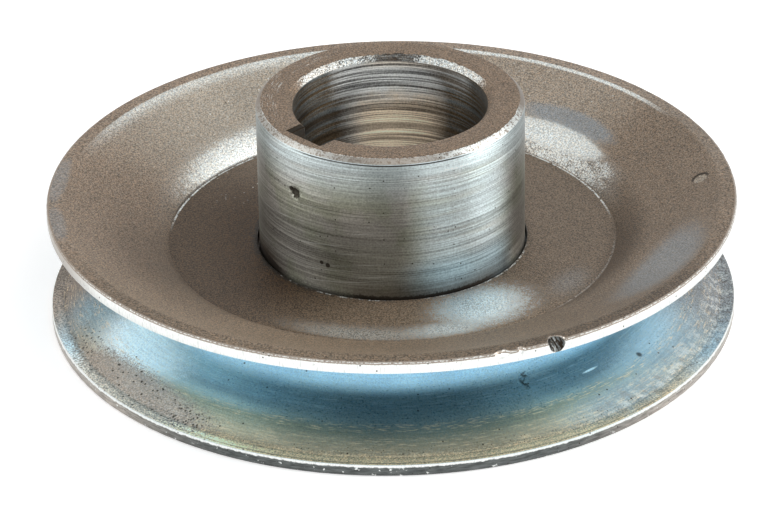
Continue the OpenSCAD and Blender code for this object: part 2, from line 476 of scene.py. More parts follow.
class Surface:
    """A new material with its object coordinates, and the patterns that its finish is made of."""

    def __init__(self, name):
        self.material = bpy.data.materials.new(name)
        self.paint = fresh_paint(self.material)
        self.at = self.paint.add("ShaderNodeTexCoord", output="Object")
        parts = self.paint.add("ShaderNodeSeparateXYZ", inputs={0: self.at})
        self.x, self.y, self.z = parts, parts.out("Y"), parts.out("Z")
        self.r = (self.x * self.x + self.y * self.y) ** 0.5

    def noise(self, size, detail=3.0, stretch=(1, 1, 1), tilt=0.0):
        """Soft noise whose features are about size across, longer where stretch is above 1, and may lean."""
        scale = tuple(1 / (size * s) for s in stretch)
        at = self.at
        if tilt:
            at = self.paint.add("ShaderNodeMapping", inputs={"Vector": at, "Rotation": (tilt, tilt, 0)})
        at = self.paint.add("ShaderNodeMapping", inputs={"Vector": at, "Scale": scale})
        inputs = {"Vector": at, "Scale": 1.0, "Detail": detail, "Roughness": NOISE_ROUGHNESS}
        return self.paint.add("ShaderNodeTexNoise", None, inputs)

    def specks(self, spacing, share, size):
        """1 on small specks in a share of the cells of that spacing; size is a speck's share of a cell."""
        cells = self.paint.add("ShaderNodeTexVoronoi", None, {"Vector": self.at, "Scale": 1 / spacing})
        pick = self.paint.add("ShaderNodeSeparateColor", inputs={0: cells.out("Color")})
        return cells.rise(size, size * 0.6) * pick.rise(1 - share - 0.01, 1 - share)

    def film_specks(self):
        """Two sizes of specks in a dull film."""
        return self.specks(0.55 * MM, 0.22, 0.2).most(self.specks(0.32 * MM, 0.22, 0.24) * 0.8)

    def grain(self, size):
        """Fine even grain between 0 and 1."""
        return self.noise(size, 1.0).rise(0.25, 0.75)

    def grained(self, base, grain, depth, warmth):
        """Base with a grain lighter and darker by depth, and another warmer and cooler by warmth."""
        hue = self.grain(0.27 * MM)
        warm = base.times((1 + warmth, 1, 1 - warmth))
        cool = base.times((1 - warmth, 1, 1 + warmth))
        return hue.blend(warm, cool).shade(1 - depth + 2 * depth * grain)

    def streaks(self, across, along):
        """Noise drawn out round the axis, with features that long at the radius STREAK_R."""
        turns = STREAK_R / (along * self.r)
        parts = {0: self.x * turns, 1: self.y * turns, 2: self.r / across}
        at = self.paint.add("ShaderNodeCombineXYZ", None, parts)
        return self.paint.add("ShaderNodeTexNoise", None, {"Vector": at, "Scale": 1.0, "Detail": 3.0})

    def facing(self, middle):
        """Cosine of the angle from a direction round the axis, in degrees."""
        return (self.x * cos(radians(middle)) + self.y * sin(radians(middle))) / self.r.most(TINY)

    def toward(self, middle, half, soft):
        """1 within half of the direction middle round the axis, fading over soft; all in degrees."""
        return self.facing(middle).rise(cos(radians(min(half + soft, 180))), cos(radians(half)))

    def spot(self, middle, r, along, across, soft, warp=0.0):
        """1 in a curved oval round a direction, in degrees, and a radius; lengths are in millimetres."""
        facing = self.facing(middle)
        turn = facing.math("ARCCOSINE", facing) * (r / along)
        out = (self.r - r * MM) / (across * MM)
        away = (turn * turn + out * out) ** 0.5 + warp
        return away.rise(1 + soft, 1 - soft)

    def shared(self, arc):
        mask = self.toward(arc.middle, arc.half, arc.soft)
        return mask if arc.share == 1 else mask * arc.share

    def arcs(self, *arcs):
        """The most of several arcs, each at its share."""
        return reduce(Paint.most, [self.shared(arc) for arc in arcs])

    def arc_sum(self, *arcs):
        """The sum of several arcs, each at its share."""
        return reduce(Paint.__add__, [self.shared(arc) for arc in arcs])

    def spots(self, spots, ragged=0.0):
        """The most of several spots, each at its share and with its edge torn by a ragged pattern."""
        masks = []
        for spot in spots:
            warp = spot.torn * ragged if spot.torn else 0.0
            mask = self.spot(spot.middle, spot.r, spot.along, spot.across, spot.soft, warp)
            masks.append(mask if spot.share == 1 else mask * spot.share)
        return reduce(Paint.most, masks)

    def near(self, point, reach, soft):
        """1 within reach of a point, fading over soft."""
        ends = {0: self.at, 1: point}
        away = self.paint.add("ShaderNodeVectorMath", {"operation": "DISTANCE"}, ends, "Value")
        return away.rise(reach + soft, reach)

    def finish(self, base, roughness, metallic, height, relief, **constants):
        """The finished material; relief is the bump's depth, and constants are other shader sockets."""
        inputs = {"Height": height, "Strength": 1.0, "Distance": relief}
        bump = self.paint.add("ShaderNodeBump", None, inputs)
        sockets = {"Base Color": base, "Roughness": roughness, "Metallic": metallic, "Normal": bump}
        sockets.update({name.replace("_", " "): value for name, value in constants.items()})
        shader = self.paint.add("ShaderNodeBsdfPrincipled", None, sockets)
        self.paint.add("ShaderNodeOutputMaterial", None, {"Surface": shader})
        return self.material


def dish_finish(colours, sizes, wear):
    """Plating dulled to a grainy brown-grey film, with painted highlights in the zinc's colour on its bends.
    """
    face = Surface("dish_film")
    web_r, lip_r = sizes.web_r, RIM_R - sizes.lip_w
    grain = face.grain(0.2 * MM)
    mottle = face.noise(0.8 * MM)
    patches = face.noise(9 * MM)
    ragged = 0.6 * grain + 0.5 * mottle - 0.55
    tatters = 0.55 * grain + 0.45 * mottle.rise(0.3, 0.7)
    inner = face.r.rise(lip_r + 0.1 * MM, lip_r - 0.2 * MM)
    web = face.r.rise(web_r + 0.1 * MM, web_r - 0.1 * MM)

    # Film, with painted shade on one side of the web and at the sides of the walls, lighter and darker
    # copies of it by side, and a painted highlight on the far side of the cone
    # Painted highlight near the lip on one side of the cone
    pale = face.arcs(*CONE_HIGHLIGHT) * inner
    # Painted light and shade: lighter and darker copies of the film by side
    cone = face.arcs(CONE_FRONT).blend(colours.film, colours.front_film)
    cone = face.arcs(CONE_SHADED).blend(cone, colours.shaded_film)
    cone = (pale * 0.7).blend(cone, colours.highlight_film)
    # Painted shade on one side of the web, darkest near the hub
    thick = face.arcs(WEB_SHADE) * (1 - 0.45 * face.r.rise(18 * MM, 34 * MM))
    web_film = face.arcs(WEB_FRONT).blend(colours.web_film, colours.front_film)
    web_film = thick.blend(web_film, colours.shade_brown)
    base = web.blend(cone, web_film)
    # Painted shade at the sides of the walls
    base = (face.spots(CONE_WALL_SHADE) * 0.6).blend(base, colours.shade_brown)
    # Grey film in patches, and a painted grey sheen on one side of the cone
    grey = face.spots(GREY_PATCHES, ragged).most(face.spots(GREY_CONE_SHEEN, ragged) * inner)
    base = (grey * 0.85).blend(base, colours.grey_film)

    # Painted highlights on the bends, bare plating round the hole, and painted reflections on the web
    hem = face.r.rise(lip_r - 3 * MM, lip_r - 0.3 * MM) * inner * face.arcs(HEM_HIGHLIGHT)
    wall = face.spots(WALL_SHINE, ragged)
    wall = (0.42 * wall + 0.46 * wall.broken(tatters)) * face.r.rise(web_r, web_r + 0.12 * MM)
    crease = face.r.band(web_r - 0.26 * MM, web_r - 0.08 * MM, 0.08 * MM) * mottle.rise(0.35, 0.5) * 0.85
    crease = crease * face.arcs(*CREASE_SHINE)
    lip_line = face.r.band(lip_r - 0.42 * MM, lip_r - 0.12 * MM, 0.3 * MM) * face.arcs(LIP_LINE)
    lip_shine = face.r.rise(lip_r - 0.1 * MM, lip_r + 0.3 * MM) * face.arcs(LIP_SHINE)
    # Painted reflections on the web, inside the crease
    inner_web = (face.r + 0.5 * MM * ragged).rise(28.4 * MM, 28 * MM)
    web_glint = face.spots(WEB_GLINT, ragged) * inner_web
    web_reflection = face.spots(WEB_REFLECTION, ragged) * inner_web
    # Mask of the painted highlights on the bends, which also makes them shinier and more metallic
    zinc = wall.most(crease).most(lip_line).most(lip_shine).most(web_glint).most(hem * hem * 0.6)
    bits = face.specks(0.6 * MM, 0.14, 0.24) * pale
    hole_line = face.r.band(HUB_R + 0.35 * MM, HUB_R + 0.55 * MM, 0.08 * MM) * mottle.rise(0.42, 0.56)
    hole_line = hole_line * face.arcs(*HOLE_LINE)
    base = zinc.blend(base, colours.zinc)
    base = (web_reflection * 0.95).blend(base, colours.web_reflection)
    base = (bits * 0.6).blend(base, colours.zinc)
    base = (hole_line * 0.8).blend(base, colours.zinc)
    zinc = zinc.most(web_reflection)
    dent = on_circle(wear.dent_angle, wear.dent_r, dish_height(sizes, wear.dent_r))
    # Painted light in the dent's bowl
    dent_highlight = face.near(dent, 0.9 * MM, 0.15 * MM)
    base = (dent_highlight * 0.45).blend(base, colours.highlight_film)

    # Grain, shade and dirt
    depth = 0.66 - 0.3 * zinc.most(pale * 0.7).most(grey) + 0.16 * thick * web
    base = face.grained(base, grain, depth, 0.07)
    # Painted shade on one side of the lip
    lip_shade = face.r.rise(lip_r - 0.3 * MM, lip_r) * face.arcs(LIP_SHADE)
    # Painted light and shade: the cones are lighter on one side and darker on another
    base = base.shade(0.85 + 0.3 * patches + face.arc_sum(*CONE_LIGHT) * (1 - web) - 0.28 * lip_shade)
    # Painted shadow on the dent's far wall
    far_side = face.y.rise(dent.y - 0.3 * MM, dent.y + 0.3 * MM)
    dent_shadow = (face.near(dent, 1.2 * MM, 0.15 * MM) - dent_highlight) * far_side
    # Painted shade: a thin dark line just outside the crease
    gap = face.r.band(web_r, web_r + 0.14 * MM, 0.08 * MM) * face.arcs(CREASE_SHADE)
    seam = (face.r + 1.6 * MM * (mottle - 0.5)).rise(HUB_R + 1.2 * MM, HUB_R + 0.5 * MM)
    seam = seam * (0.15 + face.arcs(SEAM_DIRT))
    soot = face.r.rise(HUB_R + 5 * MM, HUB_R + 0.5 * MM) * face.arcs(SEAM_SOOT)
    dirt = face.film_specks() * (0.8 - 0.3 * zinc)
    dirt = dirt.most(face.specks(0.5 * MM, 0.6, 0.32) * soot).most(seam)
    dirt = dirt.most(dent_shadow * 0.9).most(gap * 0.6)
    base = dirt.blend(base, colours.speck)
    roughness = 0.5 - 0.16 * zinc + 0.08 * grain
    return face.finish(base, roughness, 0.6 + 0.4 * zinc, grain + 0.8 * mottle, 0.03 * MM)


def groove_colours(face, colours, span, ragged):
    """Colours of the lower groove wall from its root to its lip, and masks of its worn and pitted places."""
    low, high = GROOVE_SPAN
    stops = [((r - low) / (high - low), getattr(colours, name)) for r, name in GROOVE_STOPS]
    share = (span - low * MM) / ((high - low) * MM)
    base = face.paint.add("ShaderNodeValToRGB", {"stops": stops}, {0: share})
    # Painted light: lighter away from one side of the groove, towards its lip
    outward = 1 - face.arcs(GROOVE_MIDDLE)
    lighter = (1.1 * outward + face.arcs(GROOVE_LIGHT)) * face.r.band(39 * MM, 42 * MM, 1.8 * MM)
    base = base.shade(1 + lighter)
    # Tan on one side of the lip, and the pale of the painted reflections elsewhere
    tan_side = face.arcs(GROOVE_TAN).blend(colours.reflection_pale, colours.tan)
    base = span.rise(42.8 * MM, 44.2 * MM).blend(base, tan_side)
    # Painted shade, deep blue, under the upper rim on one side
    deep = face.spots(GROOVE_SHADE, ragged) * face.r.rise(33 * MM, 35 * MM)
    base = (deep * 0.85).blend(base, colours.shaded_blue)
    # Painted highlight on one side, and painted reflections on another
    base = face.spots(GROOVE_SHINE, ragged).blend(base, colours.pale_blue)
    side = face.r.rise(37.5 * MM, 42 * MM).blend(colours.reflection_pale, colours.reflection_blue)
    base = (face.spots(GROOVE_SIDE_REFLECTION, ragged) * 0.9).blend(base, side)
    film = face.arcs(GROOVE_FILM)
    base = film.blend(base, face.arcs(GROOVE_FILM_SIDE).blend(colours.grey_film, colours.side_grey))
    base = face.spots(GROOVE_STAIN, ragged).blend(base, colours.mid_blue)

    scratchy = face.streaks(0.14 * MM, 1.3 * MM).rise(0.5, 0.72)
    belt_line = face.r.band(39 * MM, 39.9 * MM, 0.4 * MM)
    belt_line = belt_line.most(face.r.band(41 * MM, 43.5 * MM, 0.5 * MM) * 0.6)
    base = (belt_line * scratchy * (0.42 + 0.25 * outward)).blend(base, colours.tan)
    scuffs = face.streaks(0.16 * MM, 4 * MM).rise(0.54, 0.66) * face.r.band(31 * MM, 36 * MM, 2 * MM)
    base = (scuffs * 0.12).most(face.spots(GROOVE_SCRATCH)).blend(base, colours.pale_blue)

    spoiled = face.spots(SPOILED, ragged)
    base = (spoiled * 0.92).blend(base, face.spots(SPOILED_STAIN).blend(colours.spoiled, colours.film))
    # Painted light on the lip beside the pitted patch
    base = base.shade(1 + face.r.rise(43.4 * MM, 44.2 * MM) * face.arcs(LOWER_LIP_LIGHT))
    flaky = face.arcs(GROOVE_FLAKES) * face.r.rise(39.5 * MM, 43 * MM)
    flakes = face.noise(1.6 * MM)
    base = (flaky * flakes.rise(0.5, 0.6) * 0.35).blend(base, colours.zinc)
    base = (flaky * flakes.rise(0.42, 0.34) * 0.4).blend(base, colours.side_grey)
    return base, film, spoiled


def groove_dirt(face, spoiled, ragged, mottle):
    """Crumbs, pits and marks on the lower groove wall."""
    dirt = (face.specks(0.75 * MM, 0.55, 0.27) * spoiled).most(
        face.specks(0.55 * MM, 0.75, 0.34) * face.spots(SPOILED_ENDS)
    )
    lip_line = (face.r + 0.3 * MM * ragged).band(44.72 * MM, 44.8 * MM, 0.1 * MM)
    dirt = dirt.most(lip_line * face.arcs(GROOVE_LIP_LINE))
    crumbs = face.r.band(42.3 * MM, 44.6 * MM, 0.6 * MM) * face.arcs(GROOVE_CRUMBS)
    dirt = dirt.most(face.specks(0.45 * MM, 0.42, 0.24) * crumbs)
    scribble = face.spots(SCRIBBLE, face.noise(0.5 * MM, 2.0) - 0.5) * mottle.rise(0.4, 0.5)
    smudge = face.near(on_circle(*SMUDGE), 0.35 * MM, 0.3 * MM)
    return dirt.most(scribble).most(smudge)


def groove_finish(colours, lower):
    """Belt-polished plating, light blue at the root of the groove and tan towards its lip."""
    face = Surface("groove_worn" if lower else "groove_plate")
    grain = face.grain(0.22 * MM)
    mottle = face.noise(1 * MM)
    patches = face.noise(7 * MM)
    ragged = 0.5 * grain + 0.5 * mottle - 0.5
    streaks = face.streaks(0.22 * MM, 5 * MM)
    base = patches.blend(colours.root_blue, colours.pale_blue)
    dirt = face.specks(1 * MM, 0.15, 0.16)
    roughness = 0.26 + 0.14 * grain
    depth = 0.13
    if lower:
        span = face.r + 0.5 * MM * ragged + 0.9 * MM * (streaks - 0.5)
        base, film, spoiled = groove_colours(face, colours, span, ragged)
        dirt = dirt.most(groove_dirt(face, spoiled, ragged, mottle))
        roughness = roughness + 0.2 * face.r.rise(39 * MM, 43 * MM).most(spoiled).most(film)
        depth = depth + 0.2 * spoiled + 0.3 * film + 0.2 * span.rise(42 * MM, 44 * MM)
    base = face.grained(base, grain, depth, 0.05)
    base = base.shade((0.6 + 0.3 * patches + 0.5 * streaks).most(DARKEST))
    base = (dirt * 0.85).blend(base, colours.speck)
    return face.finish(base, roughness, 1.0, grain + 0.5 * mottle, 0.012 * MM)


def edge_finish(colours, wear, lower):
    """Bright sheared edge with fine upright tears and specks of dirt."""
    face = Surface("sheared_edge_low" if lower else "sheared_edge")
    tears = face.noise(0.16 * MM, stretch=(1, 1, 5))
    smear = face.noise(0.7 * MM, 4.0)
    base = (tears.rise(0.45, 0.8) * 0.4).blend(colours.edge, colours.grey_film)
    if lower:
        rubbed = face.noise(0.22 * MM, stretch=(7, 7, 1)).rise(0.2, 0.8)
        # The lower edge is dull, with painted shade on one side
        dull = face.arcs(EDGE_SHADE).blend(colours.spoiled, colours.edge_dark).shade(0.5 + 0.9 * rubbed)
        flecks = smear.rise(0.63, 0.69) * 0.9
        bright = (face.z + 0.5 * MM * (smear - 0.5)).rise(1.18 * MM, 1.34 * MM).most(flecks)
        base = bright.blend(dull, base)
    else:
        fine = face.noise(0.3 * MM)
        corner = (face.z + 0.16 * MM * (fine - 0.5)).rise(RIM_TOP - 0.36 * MM, RIM_TOP - 0.28 * MM)
        burr = (face.z + 0.2 * MM * (smear - 0.5)).band(RIM_TOP - 0.15 * MM, RIM_TOP - 0.1 * MM, 0.05 * MM)
        nick = on_circle(wear.nick_angle, RIM_R - 0.35 * MM, RIM_TOP - 0.5 * MM)
        stripes = face.noise(0.22 * MM, 1.0, (1, 1, 8), tilt=0.5).rise(0.45, 0.62)
        base = (corner * 0.85).blend(base, colours.film)
        base = (burr * fine.rise(0.4, 0.6)).blend(base, colours.edge)
        base = face.near(nick, 1.05 * MM, 0.15 * MM).blend(
            base, stripes.blend(colours.speck, colours.edge_dark)
        )
        base = face.arcs(EDGE_FILM).blend(base, colours.film)
    hole = face.r.rise(HUB_R + 6 * MM, HUB_R + 4 * MM)
    dirt = face.specks(0.7 * MM, 0.15, 0.2).most(hole)
    base = (dirt * 0.85).blend(base, colours.speck)
    return face.finish(base, 0.25 + 0.15 * tears, 1.0, tears, 0.03 * MM)


def turned_finish(colours, wear):
    """Turned steel with fine, slightly slanting rings, with painted light that makes it brighter near its
    upper end and on two sides, and painted reflections in green and blue.
    """
    face = Surface("turned_side")
    top = HUB_HIGH.z
    rings = face.noise(0.15 * MM, 1.5, (110, 110, 1), tilt=0.012)
    marks = face.noise(0.45 * MM, stretch=(60, 60, 1), tilt=-0.02)
    scores = face.noise(0.3 * MM, 2.0, (50, 50, 1), tilt=0.1)
    bands = face.noise(2.4 * MM, stretch=(12, 12, 1))
    stain = face.noise(6 * MM, 4.0)
    grain = face.noise(0.24 * MM, 1.0)
    up = face.z.rise(9 * MM, top - 1 * MM)
    high = face.z.rise(top - 8 * MM, top - 1.5 * MM)
    low = face.z.rise(13 * MM, 10.5 * MM)

    # Tints of the steel, and painted reflections: green on one side, blue round the upper end and on one
    # side, and blue low on one side
    green = face.arcs(HUB_GREEN_REFLECTION) * face.z.rise(20 * MM, 15 * MM)
    right = face.arcs(HUB_RIGHT)
    blue_reflection = face.arcs(HUB_BLUE_REFLECTION) * face.z.band(10 * MM, 13 * MM, 3 * MM)
    base = stain.rise(0.4, 0.62).most(green).blend(colours.steel, colours.green_steel)
    base = (high.most(right) * bands.rise(0.2, 0.5) * 0.85).blend(base, colours.blue_steel)
    base = blue_reflection.blend(base, colours.mid_blue)

    # Painted highlights and shade, and turned lines
    left = face.arcs(HUB_LEFT) * face.z.rise(17.5 * MM, 26.5 * MM)
    # Painted light: brighter towards the top and in highlights on two sides, with painted shade in bands
    level = 0.46 + 0.22 * up + 0.25 * high + left + right * (0.5 + 0.45 * face.z.rise(13 * MM, 20 * MM))
    level = level + face.arcs(HUB_LOW_LEFT) * (1 - up) + face.arcs(HUB_END)
    level = level + face.arc_sum(*HUB_FOOT_LIGHT) * low + face.arcs(HUB_HIGH_SHADE) * high
    for arc, start, end in HUB_BANDS:
        level = level + face.arcs(arc) * face.z.band(start * MM, end * MM, 2 * MM)
    lines = 1.1 * (rings - 0.5) + 0.25 * (marks - 0.5) + 0.2 * (bands - 0.5) + 0.6 * (grain - 0.5)
    base = base.shade((level * (1 + 1.5 * lines)).most(DARKEST))
    base = (scores.rise(0.6, 0.7) * face.arcs(HUB_SCORES)).blend(base, colours.zinc)

    # Chamfer with painted highlights, and painted shade at the foot
    torn = 0.5 * grain + 0.5 * face.noise(0.6 * MM)
    chamfer = face.z.rise(top - 0.62 * MM, top - 0.55 * MM)
    foot = (face.z + 1.2 * MM * (stain - 0.5)).rise(JOINT_Z + 4.4 * MM, JOINT_Z + 1.8 * MM)
    base = (chamfer * 0.8).blend(base, colours.hub_face)
    base = (chamfer * face.arcs(*HUB_CHAMFER_SHINE) * torn.rise(0.42, 0.54)).blend(base, colours.zinc)
    # Painted shade at the foot, where the hub meets the web
    base = (foot * (0.5 + face.arc_sum(*HUB_FOOT_SHADE))).blend(base, colours.shade_brown)

    # Dirt
    dark_line = (face.z + 0.15 * MM * (stain - 0.5)).band(top - 0.85 * MM, top - 0.7 * MM, 0.06 * MM)
    dark_line = dark_line * face.arcs(HUB_DARK_LINE) * marks.rise(0.3, 0.5)
    thick = 0.6 * MM * face.arcs(HUB_GAP_THICK)
    gap = (face.z - thick + 0.9 * MM * (torn - 0.5)).rise(JOINT_Z + 2.15 * MM, JOINT_Z + 1.8 * MM)
    for arc in HUB_GAP_THIN:
        gap = gap * (1 - face.arcs(arc))
    hollow = on_circle(wear.pit_angle, HUB_R, wear.pit_z - 0.1 * MM)
    lobe = on_circle(wear.pit_angle - radians(2.4), HUB_R, wear.pit_z + 0.4 * MM)
    pit = (face.near(hollow, 0.45 * MM, 0.5 * MM) + 1.2 * (face.noise(0.4 * MM, 2.0) - 0.5)).rise(0.4, 0.6)
    pit = pit * face.near(hollow, 1.2 * MM, 0.1 * MM)
    dirt = face.specks(0.9 * MM, 0.3, 0.15).most(dark_line).most(gap).most(pit)
    dirt = dirt.most(face.near(lobe, 0.28 * MM, 0.15 * MM))
    for direction, z, reach in HUB_DASHES:
        dirt = dirt.most(face.near(on_circle(radians(direction), HUB_R, z * MM), reach * MM, 0.15 * MM))
    base = (dirt * 0.9).blend(base, colours.speck)
    return face.finish(
        base, 0.42 + 0.15 * (rings + marks - 1), 1.0, rings + marks + 0.3 * grain, 0.012 * MM,
        Anisotropic=0.9, Anisotropic_Rotation=ROUND_THE_AXIS,
    )


def hub_face_finish(colours, sizes):
    """Dull grainy end face with faint turning scratches, ragged painted highlights on its edges, and painted
    shade in one side of the bore's mouth.
    """
    face = Surface("hub_end_face")
    grain = face.grain(0.2 * MM)
    mottle = face.noise(0.8 * MM)
    patches = face.noise(5 * MM)
    outer = HUB_R - sizes.hub_chamfer
    inner = BORE_R + sizes.bore_chamfer
    # Painted highlights on the outer edge and the mouth, and painted shade in one side of the mouth
    rim = (face.r + 0.5 * MM * (mottle - 0.5)).rise(outer - 0.14 * MM, outer - 0.02 * MM)
    rim = rim * face.arcs(*FACE_RIM_SHINE)
    mouth = (face.r + 0.7 * MM * (mottle - 0.5)).rise(inner + 0.1 * MM, inner - 0.1 * MM)
    bright = face.arcs(*FACE_MOUTH_SHINE) * mouth
    bright = 0.25 * bright + 0.45 * bright.broken(0.5 * grain + 0.5 * mottle.rise(0.3, 0.7))
    scratch = face.streaks(0.14 * MM, 5 * MM).rise(0.58, 0.66) * face.arcs(FACE_SCRATCH)
    scratch = scratch * face.r.band(15 * MM, 16.6 * MM, 0.4 * MM)
    turned = face.streaks(0.12 * MM, 7 * MM).rise(0.4, 0.6).blend(colours.speck, colours.edge_dark)
    base = (mouth * face.arcs(FACE_MOUTH_SHADE)).blend(colours.hub_face, turned)
    base = rim.most(bright).most(scratch).blend(base, colours.zinc)
    base = face.grained(base, grain, 0.66, 0.07).shade(0.85 + 0.3 * patches)
    base = (face.film_specks() * 0.75).blend(base, colours.speck)
    return face.finish(base, 0.46 + 0.08 * grain, 0.7, grain + 0.5 * mottle, 0.03 * MM)


def bore_finish(colours):
    """Bored wall with coarse tool marks, grey near its ends and stained brown between them, with painted
    light round one side and low down, and painted shade on its sides and in the keyway.
    """
    face = Surface("bored_wall")
    top = HUB_HIGH.z
    rings = face.noise(0.22 * MM, 2.0, (80, 80, 1)).rise(0.4, 0.62)
    marks = face.noise(0.8 * MM, 2.0, (40, 40, 1))
    grain = face.grain(0.22 * MM)
    blots = face.noise(1.2 * MM)
    depth = face.z - 0.08 * face.x + 2.5 * MM * (blots - 0.5) + 1.2 * MM * (marks - 0.5)
    brown = depth.rise(top - 4 * MM, top - 8 * MM) * face.arcs(BORE_BROWN)
    warm = face.arcs(BORE_WARM) * face.z.rise(top - 2 * MM, top - 1 * MM)
    base = brown.most(warm).blend(colours.bore_blue, colours.bore_brown)
    lines = 0.75 * (rings - 0.5) + 0.6 * (marks - 0.5) + 0.25 * (grain - 0.5)
    # Painted light, brighter low down on one side
    low = face.z.rise(top - 7.5 * MM, top - 9.5 * MM) * face.arcs(BORE_LOW_LIGHT)
    base = base.shade((0.86 + 0.4 * low + 1.2 * lines).most(DARKEST))
    mouth = face.z.rise(top - 4.5 * MM, top - 2 * MM)
    upper = face.z.rise(top - 6.5 * MM, top - 4 * MM)
    # Painted light and shade: the wall keeps its colours where it is lit, and is painted dark elsewhere
    clean = face.arcs(*BORE_LIT).most(face.arcs(BORE_UPPER) * upper).most(face.arcs(BORE_MOUTH) * mouth)
    dull = rings.blend(colours.bore_shade, colours.edge_dark)
    base = clean.blend(face.grained(dull, grain, 0.3, 0.05), base)
    # Painted shade inside the keyway
    key = face.r.rise(BORE_R + 0.01 * MM, BORE_R + 0.06 * MM)
    base = (key * 0.88).blend(base, colours.speck)
    return face.finish(
        base, 0.42 + 0.1 * rings, 1.0, rings + marks, 0.03 * MM,
        Anisotropic=0.85, Anisotropic_Rotation=ROUND_THE_AXIS,
    )


def weld_finish(colours):
    """Plated weld bead with soot in patches."""
    face = Surface("weld_bead")
    grain = face.grain(0.3 * MM)
    soot = face.noise(2.5 * MM)
    base = soot.rise(0.5, 0.7).blend(colours.weld, colours.edge_dark)
    base = face.grained(base, grain, 0.5, 0.05)
    return face.finish(base, 0.4 + 0.15 * grain, 1.0, grain, 0.03 * MM)


def heading(slope):
    return Vector((cos(slope), sin(slope)))


def mitre(before, after, offset):
    """Step from a corner of a line to the same corner of the line that lies offset to its left."""
    return heading((before + after) / 2 + tau / 4) * (offset / cos((after - before) / 2))


def dish_line(sizes, hole_r):
    """Corners of a flange's dish face, as radius and height over the joint, with their bends' reach."""
    half = sizes.sheet / 2
    wall, cone = sizes.wall_angle, sizes.cone_angle
    crease = Vector((sizes.web_r, sizes.sheet))
    crease_reach = sizes.crease_r * tan(wall / 2)
    shoulder_reach = sizes.shoulder_r * tan((wall - cone) / 2)
    shoulder = crease + (crease_reach + sizes.wall_flat + shoulder_reach) * heading(wall)

    shoulder_middle = shoulder - mitre(wall, cone, half)
    lip_middle = Vector((RIM_R - sizes.lip_w, RIM_TOP - JOINT_Z - half))
    chord = lip_middle - shoulder_middle
    swing = atan2(chord.y, chord.x) - cone
    outer = cone + 2 * swing
    run = chord.length / (2 * cos(swing))
    bend = shoulder_middle + run * heading(cone) + mitre(cone, outer, half)
    bend_reach = run - (sizes.shoulder_r - half) * tan((wall - cone) / 2) - half * tan(swing)
    lip = lip_middle + mitre(outer, 0, half)
    lip_reach = sizes.lip_bend_r * tan(outer / 2)
    return [
        (Vector((hole_r, sizes.sheet)), 0, 1),
        (crease, crease_reach, 5),
        (shoulder, shoulder_reach, 12),
        (bend, bend_reach, 10),
        (lip, lip_reach, 6),
        (Vector((RIM_R, lip.y)), 0, 1),
    ]


def dish_height(sizes, r):
    """Height of the upper dish face at a radius on its cone, straight between the corners of its line."""
    corners = [point for point, reach, parts in dish_line(sizes, HUB_R)]
    for a, b in zip(corners, corners[1:]):
        if a.x <= r <= b.x:
            return JOINT_Z + a.y + (b.y - a.y) * (r - a.x) / (b.x - a.x)
    raise ValueError("the radius is outside the dish")


def bevel(bm, geom, offset, segments, affect, clamp=True):
    bmesh.ops.bevel(
        bm, geom=geom, offset=offset, offset_type="OFFSET", segments=segments, profile=0.5,
        affect=affect, material=-1, clamp_overlap=clamp,
    )


def draw_line(bm, corners, lift):
    """Draws a line of corners in the XZ plane and rounds those that have a reach."""
    points = [bm.verts.new((p.x, 0, p.y + lift)) for p, reach, parts in corners]
    for a, b in zip(points, points[1:]):
        bm.edges.new((a, b))
    for point, (p, reach, parts) in zip(points, corners):
        if reach:
            bevel(bm, [point], reach, parts, "VERTICES", clamp=False)
    bmesh.ops.remove_doubles(bm, verts=bm.verts, dist=MERGE_DISTANCE)


def divide(bm, edge, step):
    """Splits an edge that is longer than step."""
    cuts = ceil(edge.calc_length() / step) - 1
    if cuts > 0:
        bmesh.ops.subdivide_edges(bm, edges=[edge], cuts=cuts)


def revolve(bm, turns):
    """Spins the line that is in bm once round the axis."""
    bmesh.ops.spin(
        bm, geom=bm.verts[:] + bm.edges[:], cent=ORIGIN, axis=AXIS, dvec=ORIGIN, angle=tau, steps=turns,
        use_merge=True, use_duplicate=False, use_normal_flip=False,
    )
    bmesh.ops.remove_doubles(bm, verts=bm.verts, dist=MERGE_DISTANCE)
    bmesh.ops.recalc_face_normals(bm, faces=bm.faces)


def refine(bm, middle, reach, cuts):
    """Splits the edges near a point, so that a small mark there has enough points."""
    near = [e for e in bm.edges if all((v.co - middle).length < reach for v in e.verts)]
    bmesh.ops.subdivide_edges(bm, edges=near, cuts=cuts, use_grid_fill=True)


def on_circle(direction, r, z):
    return Vector((r * cos(direction), r * sin(direction), z))


def press_flange(sizes, hole_r):
    """One flange, dish upwards: its dish face is spun and given its thickness, and its edges are broken."""
    bm = bmesh.new()
    draw_line(bm, dish_line(sizes, hole_r), JOINT_Z)
    for edge in bm.edges[:]:
        divide(bm, edge, sizes.ring_step)
    revolve(bm, sizes.turns)
    if sum(face.normal.z for face in bm.faces) < 0:
        bmesh.ops.reverse_faces(bm, faces=bm.faces)
    bmesh.ops.solidify(bm, geom=bm.faces[:], thickness=sizes.sheet)
    bmesh.ops.recalc_face_normals(bm, faces=bm.faces)
    corners = [e for e in bm.edges if len(e.link_faces) == 2 and e.calc_face_angle() > CORNER_ANGLE]
    dish_rim = [e for e in corners if e.verts[0].co.z > RIM_TOP - sizes.sheet / 2]
    others = [e for e in corners if e not in set(dish_rim)]
    for edges, offset in ((dish_rim, sizes.edge_break), (others, sizes.burr)):
        bevel(bm, edges, offset, 2, "EDGES")
    return bm


